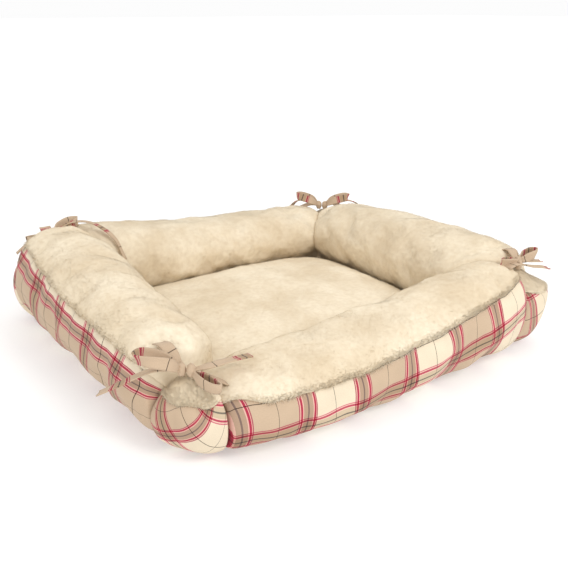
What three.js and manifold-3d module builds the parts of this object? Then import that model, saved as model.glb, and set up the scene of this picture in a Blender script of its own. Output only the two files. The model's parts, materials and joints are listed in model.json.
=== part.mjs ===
// Tie-corner pet cushion bed: a flat stuffed pad, four stuffed side walls that fold up
// along the pad's edges, and a pouch of spare cover at each corner, held by ribbon bows.
// Millimetres, +Z up, origin on the floor under the middle of the pad.
import * as THREE from 'three';
import { mergeVertices } from 'three/addons/utils/BufferGeometryUtils.js';
import Module from 'manifold-3d';

// ---- driving dimensions ----
const PAD_WIDTH = 430; // fold line to fold line along X
const PAD_DEPTH = 380; // fold line to fold line along Y
const PAD_HEIGHT = 60; // crown of the pad
const PAD_EDGE_HEIGHT = 6; // pad top at the fold line
const PAD_EDGE_SOFTNESS = 40; // how far in from the edge the pad swells up
const FOLD_HEIGHT = 8; // height of the sewn channel that the walls fold along
const WALL_IN = 38; // how far a wall swells over the pad
const WALL_TIP = 0.8; // a wall draws in towards its ties beyond this share of its half length
const TIP_DROP = 0.07; // how much lower it is at its very end
const TIP_PINCH = 0.10; // and how much narrower
const PAD_INSET = 1; // the base panel stops this far inside the fold lines
const PAD_RIM = 6; // and the filling and floor panel this much further in
const POUCH_CENTRE = 0.8; // corner pouches start this far outside both fold lines
const SKIN = 2.6; // cover thickness
const GAP = 0.4; // clearance between neighbouring pieces
const RIBBON_WIDTH = 16;
const RIBBON_THICKNESS = 1.6;
const STRAP_OUT = 32; // where a tie is sewn on, outward from the fold line
const STRAP_LIFT = 3; // its height above the plush
const STRAP_BACK = 12; // how far in from the wall's end it is sewn on
const STRAP_DROP = 10; // it leaves the wall at most this far below the knot
const GATHER = 0.35; // share of the ribbon's width left inside the knot
const GATHER_LENGTH = 0.22; // share of a ribbon's length over which it opens out again
const KNOT_RADIUS = 5.4;
const KNOT_SPLIT = 4.4; // each half of a knot stands this far towards its own wall

// Each wall: turn about Z, length, distance of its fold line, then at its start, middle and end:
// how far it swells outside the fold line, its crest height, and its seam height as a share of
// the crest.
const WALLS = [
  { name: 'front', turn: 0, length: PAD_WIDTH, reach: PAD_DEPTH / 2,
    out: [83, 90, 70], crest: [75, 86, 121], seam: [0.88, 0.79, 0.92] },
  { name: 'right', turn: 90, length: PAD_DEPTH, reach: PAD_WIDTH / 2,
    out: [82, 88, 82], crest: [122, 116, 101], seam: [0.88, 0.76, 0.78] },
  { name: 'back', turn: 180, length: PAD_WIDTH, reach: PAD_DEPTH / 2,
    out: [82, 88, 82], crest: [100, 99, 130], seam: [0.78, 0.76, 0.80] },
  { name: 'left', turn: 270, length: PAD_DEPTH, reach: PAD_WIDTH / 2,
    out: [84, 75, 66], crest: [142, 130, 111], seam: [0.92, 0.77, 0.83] },
];

// Each corner: signs of X and Y, how far its pouch reaches towards X, on the diagonal and
// towards Y, its height, and where on its height it is widest.
const CORNERS = [
  { name: 'front_left', x: -1, y: -1, reach: [54, 54, 67], height: 76, belly: 0.50 },
  { name: 'front_right', x: 1, y: -1, reach: [68, 71, 53], height: 97, belly: 0.66 },
  { name: 'back_right', x: 1, y: 1, reach: [66, 70, 66], height: 84, belly: 0.55 },
  { name: 'back_left', x: -1, y: 1, reach: [78, 80, 74], height: 104, belly: 0.54 },
];

// Each wall end has half a bow: the knot's reach outside both fold lines and its height, the
// loop (heading from straight outward towards the wall's middle, length, width, rise), and the
// points of its tail. Points are beyond the wall's end, outward from its fold line, and above
// the knot.
const TIES = [
  { wall: 'front', end: -1, knot: [23, 91], loop: [18, 40, 16, -9], tail: [[0, 32, 2], [-24, 27, -3], [-58, 23, -7]] },
  { wall: 'left', end: 1, knot: [23, 91], loop: [8, 42, 20, 20], tail: [[12, 48, 4], [4, 74, -4], [-18, 96, -22]] },
  { wall: 'front', end: 1, knot: [22, 110], loop: [88, 38, 14, 17], tail: [[34, 37, -4], [54, 43, -9], [72, 47, -15]] },
  { wall: 'right', end: -1, knot: [22, 110], loop: [0, 42, 20, 12], tail: [[21, 42, -2], [23, 62, -6], [25, 82, -10]] },
  { wall: 'right', end: 1, knot: [18, 97], loop: [45, 40, 20, 16], tail: [[0, 44, 8], [-2, 76, 0], [-8, 98, -26]] },
  { wall: 'back', end: -1, knot: [18, 97], loop: [56, 38, 18, 19], tail: [[4, 46, 4], [2, 74, -4], [-6, 96, -30]] },
  { wall: 'back', end: 1, knot: [18, 120], loop: [70, 38, 18, 19], tail: [[-10, 20, 18], [-36, 2, 19], [-56, -28, 3], [-63, -49, -30]] },
  { wall: 'left', end: -1, knot: [18, 120], loop: [-12, 34, 16, 10], tail: [[10, 38, 2], [13, 54, -5], [15, 70, -17]] },
];

// What each wall's start and end are called.
const TIE_SIDES = {
  front: ['left', 'right'], right: ['front', 'back'], back: ['right', 'left'], left: ['back', 'front'],
};

// ---- materials ----
const fabric = (color, roughness) => new THREE.MeshStandardMaterial({ color, roughness, metalness: 0 });
const MATERIALS = {
  plaid: fabric(0xe2cda6, 0.85),
  plush: fabric(0xe6d2ab, 0.98),
  fibre: fabric(0xf6f5f0, 0.95),
  ribbon: fabric(0xd6bd98, 0.85),
};

// ---- closed-body helpers ----
// Six times the signed volume: below zero when the faces point inwards.
function signedVolume(points, faces) {
  const corner = (i) => new THREE.Vector3(...points[i]);
  return faces.reduce((sum, [a, b, c]) => sum + corner(a).dot(corner(b).cross(corner(c))), 0);
}

function solidFrom(points, faces) {
  if (signedVolume(points, faces) < 0) faces.forEach((face) => face.reverse());
  const geometry = new THREE.BufferGeometry();
  geometry.setAttribute('position', new THREE.Float32BufferAttribute(points.flat(), 3));
  geometry.setIndex(faces.flat());
  geometry.computeVertexNormals();
  return geometry;
}

// Joins closed rings of equal length into a body. capOutline is the flat shape of one ring.
function loft(rings, capOutline) {
  const n = rings[0].length;
  const points = rings.flat();
  const faces = [];
  for (let k = 0; k + 1 < rings.length; k++) {
    for (let i = 0; i < n; i++) {
      const a = k * n + i;
      const b = k * n + ((i + 1) % n);
      faces.push([a, b, b + n], [a, b + n, a + n]);
    }
  }
  const cap = (outline) => THREE.ShapeUtils.triangulateShape(outline.map((p) => new THREE.Vector2(...p)), []);
  const last = (rings.length - 1) * n;
  // triangulateShape keeps an outline's own sense, so the two caps are wound oppositely.
  const sense = THREE.ShapeUtils.isClockWise(capOutline(0).map((p) => new THREE.Vector2(...p))) ? 1 : -1;
  for (const [a, b, c] of cap(capOutline(0))) faces.push(sense > 0 ? [a, b, c] : [a, c, b]);
  for (const [a, b, c] of cap(capOutline(rings.length - 1))) {
    faces.push(sense > 0 ? [last + a, last + c, last + b] : [last + a, last + b, last + c]);
  }
  return solidFrom(points, faces);
}

// Quadratic through three values, at t from -1 to 1.
function along([start, middle, end], t) {
  const slope = (end - start) / 2;
  const curve = (start + end) / 2 - middle;
  return middle + slope * t + curve * t * t;
}

// ---- wall cross-section, as [outward, up] ----
function wallSection(wall, t) {
  const tip = Math.max(0, (Math.abs(t) - WALL_TIP) / (1 - WALL_TIP)); // 1 at the very end
  const crest = along(wall.crest, t) * (1 - TIP_DROP * tip * tip);
  const out = along(wall.out, t) * (1 - TIP_PINCH * tip * tip);
  const inner = WALL_IN;
  const control = [
    [1.5, FOLD_HEIGHT],
    [0.45 * out, FOLD_HEIGHT + 1],
    [0.83 * out, 0.21 * crest],
    [out, 0.50 * crest],
    [0.91 * out, 0.81 * crest],
    [0.58 * out, 0.97 * crest],
    [10, crest],
    [-0.60 * inner, 0.89 * crest],
    [-inner, 0.67 * crest],
    [-0.80 * inner, 0.17 * crest + 28],
    [-0.32 * inner, 27],
  ];
  const curve = new THREE.CatmullRomCurve3(
    control.map(([o, z]) => new THREE.Vector3(o, z, 0)), true, 'catmullrom', 0.5);
  return curve.getSpacedPoints(240).map((p) => [p.x, p.y]);
}

// Seam place on a section: the first sample on the outer side that reaches the seam's share of
// the crest.
function seamShare(section, share) {
  const crest = Math.max(...section.map(([, z]) => z));
  const index = section.findIndex(([o, z]) => o > 0 && z >= share * crest);
  return index / (section.length - 1);
}

// Samples a closed section from one share of its length to another, set in by a distance.
function arc(section, from, to, count, inset) {
  const n = section.length - 1;
  return Array.from({ length: count + 1 }, (_, i) => {
    const share = (from + ((to - from) * i) / count) * n;
    const k = Math.floor(share);
    const f = share - k;
    const at = (j) => section[((j % n) + n) % n];
    const [ax, ay] = at(k);
    const [bx, by] = at(k + 1);
    const [px, py] = at(k - 2);
    const [qx, qy] = at(k + 3);
    const length = Math.hypot(qx - px, qy - py);
    return [ax + (bx - ax) * f - ((qy - py) / length) * inset, ay + (by - ay) * f + ((qx - px) / length) * inset];
  });
}

const shellRing = (section, [from, to, count]) =>
  [...arc(section, from, to, count, 0), ...arc(section, to, from, count, SKIN)];

// The filling follows the inside of both covers point by point, so that it stays clear of them.
const fillingRing = (section, spans) =>
  spans.toReversed().flatMap(([from, to, count]) => arc(section, to, from, count, SKIN + GAP));

// Shares of a section's length: the seam's own width, and where the plush meets the fold again.
const SEAM_GAP = 0.004;
const FOLD_SHARE = 0.985;
const PLAID_STEPS = 7;
const PLUSH_STEPS = 9;

// Walls stop at the fold lines of their neighbours, mitred where they swell over the pad.
const WALL_STATIONS = [-1, -0.94, -0.84, -0.6, -0.2, 0.2, 0.6, 0.84, 0.94, 1];

function wallBody(wall, ringAt) {
  const outlines = WALL_STATIONS.map((t) => ringAt(wallSection(wall, t), t));
  const rings = outlines.map((outline, k) => outline.map(([o, z]) => {
    const half = wall.length / 2 - GAP + Math.min(o, 0);
    return [WALL_STATIONS[k] * half, -o, z];
  }));
  return loft(rings, (k) => outlines[k]);
}

// ---- corner pouch: a quarter turn of a stuffed section, as [share of reach, up] ----
const POUCH_FOOT = 0.45; // where the flat underside ends
const POUCH_CAP = 0.40; // where the nearly flat top begins
const POUCH_SEAM = 0.72; // seam height as a share of the pouch's
const POUCH_TURNS = [0, 18, 36, 54, 72, 90].map((degrees) => (degrees * Math.PI) / 180);

// The section at a turn from X towards Y, set in by a distance, as [radius, up].
function pouchSection(corner, turn, inset) {
  const [towardX, diagonal, towardY] = corner.reach;
  const side = towardX * Math.cos(turn) ** 2 + towardY * Math.sin(turn) ** 2;
  const reach = side + (diagonal - (towardX + towardY) / 2) * Math.sin(2 * turn) ** 2;
  const { height, belly } = corner;
  const above = (share) => (belly + share * (1 - belly)) * height;
  const shape = new THREE.Shape();
  shape.moveTo(1 + inset, 3 + inset);
  shape.lineTo(POUCH_FOOT * reach, 3 + inset);
  shape.bezierCurveTo((POUCH_FOOT + 0.4) * reach - inset, 3 + inset,
    reach - inset, 0.5 * belly * height, reach - inset, belly * height);
  shape.bezierCurveTo(reach - inset, above(0.56), 0.78 * reach - inset, 0.90 * height - inset,
    POUCH_CAP * reach, 0.96 * height - inset);
  shape.lineTo(1 + inset, height - inset);
  return shape.getPoints(6).map((p) => [p.x, p.y]);
}

// A pouch body from an outline that is worked out afresh at each turn.
function pouchBody(corner, outlineAt) {
  const outlines = POUCH_TURNS.map(outlineAt);
  const rings = outlines.map((outline, k) => outline.map(([r, z]) => [
    corner.x * (PAD_WIDTH / 2 + POUCH_CENTRE + r * Math.cos(POUCH_TURNS[k])),
    corner.y * (PAD_DEPTH / 2 + POUCH_CENTRE + r * Math.sin(POUCH_TURNS[k])),
    z,
  ]));
  return loft(rings, (k) => outlines[k]);
}

function pouchPieces(corner) {
  const seam = pouchSection(corner, 0, 0)
    .findIndex(([r, z]) => r > 0.5 * corner.reach[0] && z > POUCH_SEAM * corner.height);
  const split = (turn, from, to) => [
    ...pouchSection(corner, turn, 0).slice(from, to),
    ...pouchSection(corner, turn, SKIN).slice(from, to).reverse(),
  ];
  const lift = (outline) => outline.map(([r, z], i) => {
    const lowest = i === 0 || i === outline.length - 1;
    return lowest ? [r, z + GAP] : [r, z];
  });
  return {
    plaid: pouchBody(corner, (turn) => split(turn, 0, seam + 1)),
    plush: pouchBody(corner, (turn) => lift(split(turn, seam))),
    filling: pouchBody(corner, (turn) => pouchSection(corner, turn, SKIN + GAP)),
  };
}

// ---- pad: three stacked layers over one crowned surface ----
const PAD_GRID = [1, 0.93, 0.8, 0.55, 0.2];
const padLines = (half) => [...PAD_GRID.map((g) => -g * half), ...PAD_GRID.map((g) => g * half).reverse()];

function padTop(x, y) {
  const swell = (half, v) => 1 - Math.exp(-(half - Math.abs(v)) / PAD_EDGE_SOFTNESS);
  const crown = swell(PAD_WIDTH / 2, x) * swell(PAD_DEPTH / 2, y);
  return PAD_EDGE_HEIGHT + (PAD_HEIGHT - PAD_EDGE_HEIGHT) * crown;
}

// A body between two height fields over a rectangle.
function padLayer(halfX, halfY, lower, upper) {
  const xs = padLines(halfX);
  const ys = padLines(halfY);
  const nx = xs.length;
  const ny = ys.length;
  const points = [lower, upper].flatMap((height) => ys.flatMap((y) => xs.map((x) => [x, y, height(x, y)])));
  const at = (layer, j, i) => layer * nx * ny + j * nx + i;
  const faces = [];
  const quad = (a, b, c, d) => faces.push([a, b, c], [a, c, d]);
  for (let j = 0; j + 1 < ny; j++) {
    for (let i = 0; i + 1 < nx; i++) {
      quad(at(1, j, i), at(1, j, i + 1), at(1, j + 1, i + 1), at(1, j + 1, i));
      quad(at(0, j, i), at(0, j + 1, i), at(0, j + 1, i + 1), at(0, j, i + 1));
    }
  }
  for (let i = 0; i + 1 < nx; i++) {
    quad(at(0, 0, i), at(0, 0, i + 1), at(1, 0, i + 1), at(1, 0, i));
    quad(at(0, ny - 1, i + 1), at(0, ny - 1, i), at(1, ny - 1, i), at(1, ny - 1, i + 1));
  }
  for (let j = 0; j + 1 < ny; j++) {
    quad(at(0, j + 1, 0), at(0, j, 0), at(1, j, 0), at(1, j + 1, 0));
    quad(at(0, j, nx - 1), at(0, j + 1, nx - 1), at(1, j + 1, nx - 1), at(1, j, nx - 1));
  }
  return solidFrom(points, faces);
}

// ---- ribbons ----
// Height of a wall's upper surface near its end, at a distance outward.
function wallTop(wall, end, out) {
  const near = ([o]) => Math.abs(o - out) < RIBBON_WIDTH / 2 + 2;
  const heights = wallSection(wall, 0.94 * end).filter(near).map(([, z]) => z);
  return Math.max(...heights);
}

const wasm = await Module();
wasm.setup();

function toManifold(geometry) {
  const bare = geometry.clone();
  bare.deleteAttribute('normal');
  bare.deleteAttribute('uv');
  const merged = mergeVertices(bare, 1e-3);
  return new wasm.Manifold(new wasm.Mesh({
    numProp: 3,
    vertProperties: new Float32Array(merged.attributes.position.array),
    triVerts: new Uint32Array(merged.index.array),
  }));
}

function fromManifold(manifold) {
  const mesh = manifold.getMesh();
  const geometry = new THREE.BufferGeometry();
  geometry.setAttribute('position', new THREE.Float32BufferAttribute(mesh.vertProperties, 3));
  geometry.setIndex(Array.from(mesh.triVerts));
  geometry.computeVertexNormals();
  return geometry;
}

// A flat ribbon along a smooth path. Its width lies along the given direction, and it is
// gathered narrow at the ends that run into the knot.
function ribbon(path, widthDirection, steps, [gatherStart, gatherEnd]) {
  const curve = new THREE.CatmullRomCurve3(path.map((p) => new THREE.Vector3(...p)));
  const across = new THREE.Vector3(...widthDirection).normalize();
  const rings = [];
  for (let k = 0; k <= steps; k++) {
    const point = curve.getPointAt(k / steps);
    const tangent = curve.getTangentAt(k / steps);
    const side = across.clone().addScaledVector(tangent, -across.dot(tangent)).normalize();
    const face = new THREE.Vector3().crossVectors(side, tangent);
    const fromKnot = Math.min(gatherStart ? k : steps, gatherEnd ? steps - k : steps) / steps;
    const width = RIBBON_WIDTH * Math.min(1, GATHER + fromKnot / GATHER_LENGTH);
    const corner = (w, h) => point.clone()
      .addScaledVector(side, (w * width) / 2)
      .addScaledVector(face, (h * RIBBON_THICKNESS) / 2)
      .toArray();
    rings.push([corner(-1, -1), corner(-1, 1), corner(1, 1), corner(1, -1)]);
  }
  return loft(rings, () => [[-1, -1], [-1, 1], [1, 1], [1, -1]]);
}

// A tail's width lies level, square to the way that it runs.
function acrossTail(tie) {
  const [startBeyond, startOut] = tie.tail[0];
  const [endBeyond, endOut] = tie.tail.at(-1);
  return [endOut - startOut, tie.end * (endBeyond - startBeyond), 0];
}

// Half a bow at a wall's end, in the wall's own frame: strap, half knot, loop and tail.
function tieBody(wall, tie) {
  const [knotReach, knotHeight] = tie.knot;
  const knotBeyond = knotReach - KNOT_SPLIT;
  const knotOut = knotReach + KNOT_SPLIT;
  const place = ([beyond, out, up]) => [tie.end * (wall.length / 2 + beyond), -out, up];
  const knot = place([knotBeyond, knotOut, knotHeight]);
  const raised = ([beyond, out, up]) => place([beyond, out, knotHeight + up]);

  const [heading, length, width, rise] = tie.loop;
  const angle = THREE.MathUtils.degToRad(heading);
  const loopPoint = (forward, sideways, lift) => raised([
    knotBeyond - length * forward * Math.sin(angle) + width * sideways * Math.cos(angle),
    knotOut + length * forward * Math.cos(angle) + width * sideways * Math.sin(angle),
    rise * lift,
  ]);
  const loopPath = [
    knot, loopPoint(0.35, 0.45, 0.6), loopPoint(0.8, 0.42, 0.95), loopPoint(1, 0, 1),
    loopPoint(0.8, -0.42, 0.95), loopPoint(0.35, -0.45, 0.6), knot,
  ];
  const top = wallTop(wall, tie.end, STRAP_OUT) + STRAP_LIFT;
  const strapPath = [
    place([-STRAP_BACK, STRAP_OUT, top]),
    place([0, STRAP_OUT, Math.max(top, knotHeight - STRAP_DROP)]),
    place([knotBeyond / 2 + 2, (STRAP_OUT + knotOut) / 2, (top + knotHeight) / 2]), knot,
  ];
  const half = new THREE.SphereGeometry(KNOT_RADIUS, 8, 6);
  half.translate(...knot);
  return fromManifold([
    ribbon(strapPath, [0, 1, 0], 5, [false, true]),
    ribbon(loopPath, [0, 0, 1], 13, [true, true]),
    ribbon([knot, ...tie.tail.map(raised)], acrossTail(tie), 6, [true, false]),
  ].reduce((body, piece) => body.add(toManifold(piece)), toManifold(half)));
}

const group = new THREE.Group();

function addMesh(parent, name, geometry, material) {
  const mesh = new THREE.Mesh(geometry, material);
  mesh.name = name;
  parent.add(mesh);
}

// ---- assembly ----
for (const wall of WALLS) {
  const frame = new THREE.Group();
  const turn = THREE.MathUtils.degToRad(wall.turn);
  frame.rotation.z = turn;
  frame.position.set(wall.reach * Math.sin(turn), -wall.reach * Math.cos(turn), 0);
  group.add(frame);
  const spans = (section, t) => {
    const seam = seamShare(section, along(wall.seam, t));
    return [[0, seam, PLAID_STEPS], [seam + SEAM_GAP, FOLD_SHARE, PLUSH_STEPS]];
  };
  const plaid = wallBody(wall, (section, t) => shellRing(section, spans(section, t)[0]));
  const plush = wallBody(wall, (section, t) => shellRing(section, spans(section, t)[1]));
  const filling = wallBody(wall, (section, t) => fillingRing(section, spans(section, t)));
  addMesh(frame, `${wall.name}_wall_plaid`, plaid, MATERIALS.plaid);
  addMesh(frame, `${wall.name}_wall_plush`, plush, MATERIALS.plush);
  addMesh(frame, `${wall.name}_wall_filling`, filling, MATERIALS.fibre);
  for (const tie of TIES.filter((each) => each.wall === wall.name)) {
    const side = TIE_SIDES[wall.name][tie.end > 0 ? 1 : 0];
    addMesh(frame, `${wall.name}_wall_tie_${side}`, tieBody(wall, tie), MATERIALS.ribbon);
  }
}

for (const corner of CORNERS) {
  const pieces = pouchPieces(corner);
  addMesh(group, `corner_${corner.name}_plaid`, pieces.plaid, MATERIALS.plaid);
  addMesh(group, `corner_${corner.name}_plush`, pieces.plush, MATERIALS.plush);
  addMesh(group, `corner_${corner.name}_filling`, pieces.filling, MATERIALS.fibre);
}

const padX = PAD_WIDTH / 2 - PAD_INSET;
const padY = PAD_DEPTH / 2 - PAD_INSET;
const flat = (height) => () => height;
const panel = new THREE.BoxGeometry(2 * padX, 2 * padY, SKIN).translate(0, 0, SKIN / 2);
addMesh(group, 'plaid_base_panel', panel, MATERIALS.plaid);
const under = (x, y) => Math.max(padTop(x, y) - SKIN - GAP, SKIN + 2 * GAP);
addMesh(group, 'pad_filling', padLayer(padX - PAD_RIM, padY - PAD_RIM, flat(SKIN + GAP), under), MATERIALS.fibre);
addMesh(group, 'plush_floor_panel', padLayer(padX - PAD_RIM, padY - PAD_RIM,
  (x, y) => padTop(x, y) - SKIN, (x, y) => padTop(x, y)), MATERIALS.plush);

export default group;
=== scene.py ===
"""Tie-corner pet cushion bed: soft pieces, plaid and plush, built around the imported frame."""
import json
import math

import bpy
import numpy as np
from mathutils import Matrix, Vector


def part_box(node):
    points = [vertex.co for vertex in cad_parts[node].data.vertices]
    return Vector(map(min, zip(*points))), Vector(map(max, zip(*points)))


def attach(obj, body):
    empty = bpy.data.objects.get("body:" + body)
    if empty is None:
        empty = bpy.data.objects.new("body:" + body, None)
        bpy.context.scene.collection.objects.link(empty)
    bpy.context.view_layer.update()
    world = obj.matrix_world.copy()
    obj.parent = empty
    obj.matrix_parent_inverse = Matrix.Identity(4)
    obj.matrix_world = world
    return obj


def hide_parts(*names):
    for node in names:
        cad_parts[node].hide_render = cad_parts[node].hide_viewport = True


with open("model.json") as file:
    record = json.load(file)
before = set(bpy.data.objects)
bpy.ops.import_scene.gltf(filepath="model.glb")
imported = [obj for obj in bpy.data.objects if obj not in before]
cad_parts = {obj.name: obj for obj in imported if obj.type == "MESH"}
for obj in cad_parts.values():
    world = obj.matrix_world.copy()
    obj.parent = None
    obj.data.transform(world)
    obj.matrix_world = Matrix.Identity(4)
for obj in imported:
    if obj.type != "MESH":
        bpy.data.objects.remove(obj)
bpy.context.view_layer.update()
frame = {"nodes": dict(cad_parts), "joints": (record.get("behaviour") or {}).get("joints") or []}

MM = 0.001
SEED = 20

# ---- sizes ----
PLAID_PITCH_X = 70 * MM  # repeat of the plaid's bands, each way of the cloth
PLAID_PITCH_Y = 77 * MM
PILE = 2.6 * MM  # depth of the plush
FIBRES = 48000  # on each wall and on the pad
FIBRE_LENGTH = 2.6 * MM
FIBRE_WIDTH = 0.36 * MM
FIBRE_LEAN = 1.12  # radians from upright
SHELL_SINK = 1.0 * MM  # how far the plush reaches down into the cover under it
EDGE_SPAN = 50 * MM  # distance from the plush's edge that a full vertex weight stands for
RIBBON_WIDTH = 13.5 * MM
RIBBON_THICKNESS = 1.3 * MM
KNOT_SPLIT = 3.6 * MM  # each half of a knot stands this far towards its own wall

CORNERS = {"front_left": (-1, -1), "front_right": (1, -1), "back_right": (1, 1), "back_left": (-1, 1)}
AXES = {  # outward direction of each wall
    "front": (0, -1), "right": (1, 0), "back": (0, 1), "left": (-1, 0),
}


# ---- measures of the frame ----
def joint_of(wall):
    return next(j for j in frame["joints"] if j["name"] == f"{wall}_wall_fold")


def node_points(name):
    mesh = frame["nodes"][name].data
    co = np.empty(len(mesh.vertices) * 3)
    mesh.vertices.foreach_get("co", co)
    return co.reshape(-1, 3)


FOLD = {wall: np.array(joint_of(wall)["pos_m"]) for wall in AXES}
HALF_X = abs(FOLD["right"][0])
HALF_Y = abs(FOLD["front"][1])
FOLD_HEIGHT = FOLD["front"][2]


class Wall:
    """A wall's own axes, and its outline at stations along it, read from the frame."""

    def __init__(self, name):
        self.name = name
        self.out = np.array([*AXES[name], 0.0])
        self.along = np.array([-self.out[1], self.out[0], 0.0])
        self.reach = abs(self.out @ FOLD[name])
        self.half = HALF_X if name in ("front", "back") else HALF_Y
        plush = self.local(node_points(f"{name}_wall_plush"))
        plaid = self.local(node_points(f"{name}_wall_plaid"))
        outer = plush[plush[:, 1] > 5 * MM]
        stations = np.unique(np.round(outer[:, 0] * 500) / 500)
        near = lambda points, s: points[abs(points[:, 0] - s) < 3 * MM]
        self.stations = stations / self.half
        self.crest = np.array([near(outer, s)[:, 2].max() for s in stations])
        self.swell = np.array([near(plaid, s)[:, 1].max() for s in stations])
        self.seam = np.array([near(outer, s)[:, 2].min() for s in stations])
        self.inner = -plush[:, 1].min()

    def local(self, points):
        rel = points - self.out * self.reach
        return np.stack([rel @ self.along, rel @ self.out, points[:, 2]], -1)

    def world(self, s, o, z):
        s, o, z = np.broadcast_arrays(s, o, z)
        return (self.out * self.reach + s[..., None] * self.along + o[..., None] * self.out
                + z[..., None] * np.array([0, 0, 1.0]))

    def at(self, values, t):
        return np.interp(t, self.stations, values)


WALLS = {name: Wall(name) for name in AXES}


# ---- curves and smooth noise ----
def closed_curve(control, samples=240):
    """Even samples along a closed Catmull-Rom curve."""
    p = np.asarray(control)
    n = len(p)
    dense = []
    for k in range(n):
        a, b, c, d = p[k - 1], p[k], p[(k + 1) % n], p[(k + 2) % n]
        for f in np.arange(16) / 16:
            dense.append(0.5 * (2 * b + (c - a) * f + (2 * a - 5 * b + 4 * c - d) * f**2
                                + (3 * b - a - 3 * c + d) * f**3))
    dense = np.array(dense + [dense[0]])
    return even(dense, samples)


def open_curve(control, samples):
    p = np.asarray(control, float)
    p = np.vstack([2 * p[0] - p[1], p, 2 * p[-1] - p[-2]])
    dense = [p[1]]
    for k in range(1, len(p) - 2):
        a, b, c, d = p[k - 1:k + 3]
        for f in np.arange(1, 17) / 16:
            dense.append(0.5 * (2 * b + (c - a) * f + (2 * a - 5 * b + 4 * c - d) * f**2
                                + (3 * b - a - 3 * c + d) * f**3))
    return even(np.array(dense), samples)


def even(points, samples):
    run = np.concatenate([[0], np.cumsum(np.linalg.norm(np.diff(points, axis=0), axis=1))])
    want = np.linspace(0, run[-1], samples)
    return np.stack([np.interp(want, run, points[:, k]) for k in range(points.shape[1])], -1)


def waves(x, y, scale, seed, count=7):
    """Smooth seeded variation between about -1 and 1, from crossed sine waves."""
    rng = np.random.default_rng(SEED + seed)
    total = np.zeros(np.broadcast(x, y).shape)
    for _ in range(count):
        angle, phase = rng.uniform(0, 2 * math.pi, 2)
        size = scale * rng.uniform(0.7, 1.6)
        total = total + np.sin((x * math.cos(angle) + y * math.sin(angle)) * 2 * math.pi / size + phase)
    return total / math.sqrt(count)


def smooth(low, high, x):
    f = np.clip((x - low) / (high - low), 0, 1)
    return f * f * (3 - 2 * f)


# ---- meshes ----
def make_object(name, points, faces, uv=None, materials=None):
    mesh = bpy.data.meshes.new(name)
    mesh.from_pydata(np.asarray(points).tolist(), [], [list(map(int, f)) for f in faces])
    if uv is not None:
        layer = mesh.uv_layers.new(name="cloth")
        index = np.empty(len(mesh.loops), int)
        mesh.loops.foreach_get("vertex_index", index)
        layer.data.foreach_set("uv", np.asarray(uv)[index].ravel())
    if materials is not None:
        mesh.polygons.foreach_set("material_index", np.asarray(materials, int))
    mesh.polygons.foreach_set("use_smooth", np.ones(len(mesh.polygons), bool))
    mesh.update()
    obj = bpy.data.objects.new(name, mesh)
    bpy.context.scene.collection.objects.link(obj)
    return obj


def coords(mesh):
    co = np.empty(len(mesh.vertices) * 3)
    mesh.vertices.foreach_get("co", co)
    return co.reshape(-1, 3)


def normals(mesh):
    no = np.empty(len(mesh.vertices) * 3)
    mesh.vertices.foreach_get("normal", no)
    return no.reshape(-1, 3)


def set_coords(mesh, co):
    mesh.vertices.foreach_set("co", np.asarray(co).ravel())
    mesh.update()


def weights(obj, name, values):
    group = obj.vertex_groups.new(name=name)
    for i, value in enumerate(values):
        group.add([i], float(value), "REPLACE")


def read_weights(obj, name):
    index = obj.vertex_groups[name].index
    out = np.zeros(len(obj.data.vertices))
    for i, vertex in enumerate(obj.data.vertices):
        for g in vertex.groups:
            if g.group == index:
                out[i] = g.weight
    return out


def apply_modifiers(obj):
    depsgraph = bpy.context.evaluated_depsgraph_get()
    mesh = bpy.data.meshes.new_from_object(obj.evaluated_get(depsgraph), preserve_all_data_layers=True,
                                           depsgraph=depsgraph)
    obj.modifiers.clear()
    obj.data = mesh


def subdivide(obj, levels=1):
    modifier = obj.modifiers.new("Subdivision", "SUBSURF")
    modifier.levels = levels
    apply_modifiers(obj)
    obj.data.polygons.foreach_set("use_smooth", np.ones(len(obj.data.polygons), bool))


def inflate(obj, pinned, pressure, cap, slack=0.02, frames=20):
    """Stuffs a closed cover: cloth under pressure, held at its seams, moved at most cap."""
    before = coords(obj.data)
    weights(obj, "seams", pinned)
    cloth = obj.modifiers.new("Cloth", "CLOTH")
    settings = cloth.settings
    settings.quality = 4
    settings.mass = 0.25
    settings.tension_stiffness = 12
    settings.compression_stiffness = 12
    settings.shear_stiffness = 4
    settings.bending_stiffness = 0.15
    settings.shrink_min = -slack
    settings.use_pressure = True
    settings.uniform_pressure_force = pressure
    settings.vertex_group_mass = "seams"
    settings.effector_weights.gravity = 0
    cloth.point_cache.frame_start = 1
    cloth.point_cache.frame_end = frames
    scene = bpy.context.scene
    for number in range(1, frames + 1):
        scene.frame_set(number)
    depsgraph = bpy.context.evaluated_depsgraph_get()
    after = coords(obj.evaluated_get(depsgraph).data)
    obj.modifiers.clear()
    scene.frame_set(1)
    obj.vertex_groups.remove(obj.vertex_groups["seams"])
    move = after - before
    length = np.linalg.norm(move, axis=1, keepdims=True)
    move *= np.where(length > 1e-9, cap * np.tanh(length / cap) / np.maximum(length, 1e-9), 0)
    set_coords(obj.data, before + move)


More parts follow.
